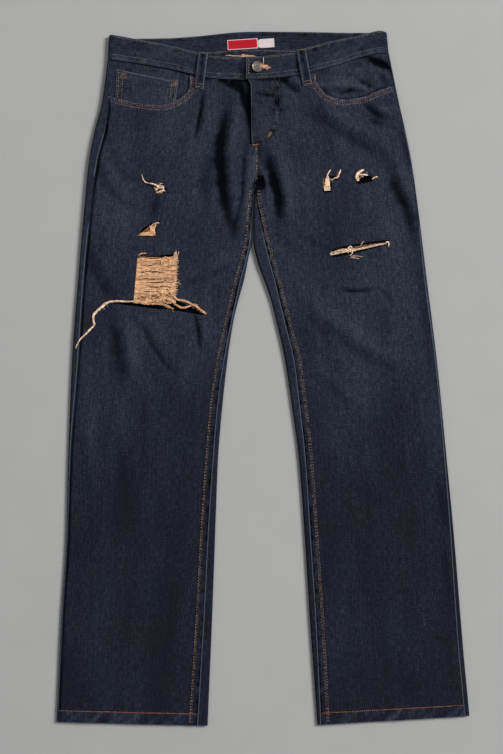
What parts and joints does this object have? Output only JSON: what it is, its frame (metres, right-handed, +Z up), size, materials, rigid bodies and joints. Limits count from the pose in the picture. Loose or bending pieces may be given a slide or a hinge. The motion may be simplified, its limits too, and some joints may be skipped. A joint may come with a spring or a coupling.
{
  "type": "ripped jeans",
  "caption": "Straight-leg dark indigo jeans with torn thighs, laid flat on their back with the front up.",
  "frame": {"origin": "on the ground, under the middle of the outline", "axes": "+X towards the wearer's left leg, +Y towards the waist, +Z up from the ground through the front"},
  "size_m": [0.6196, 1.0419, 0.0136],
  "materials": {
    "denim": "dark indigo twill, matt, lightly worn",
    "yarn": "bare tan weft threads, frayed",
    "button_metal": "dark antique metal, satin",
    "label_red": "plain red woven tape",
    "tab_white": "plain white tape"
  },
  "bodies": {
    "root": {"front_right": "denim", "front_left": "denim", "back_right": "denim", "back_left": "denim", "yoke_right": "denim", "yoke_left": "denim", "waistband": "denim", "belt_loop_front_right": "denim", "belt_loop_front_left": "denim", "belt_loop_back_right": "denim", "belt_loop_back_middle": "denim", "belt_loop_back_left": "denim", "pocket_facing_right": "denim", "pocket_facing_left": "denim", "coin_pocket": "denim", "back_pocket_right": "denim", "back_pocket_left": "denim", "waist_button": "button_metal", "waist_label": "label_red", "size_tab": "tab_white", "rip_weft": "yarn", "rip_yarn": "yarn", "rip_bundle": "yarn", "knee_bundle": "yarn", "tuft_high_right": "yarn", "tuft_low_right": "yarn", "tuft_bar_left": "yarn", "tuft_loop_left": "yarn"}
  },
  "joints": []
}
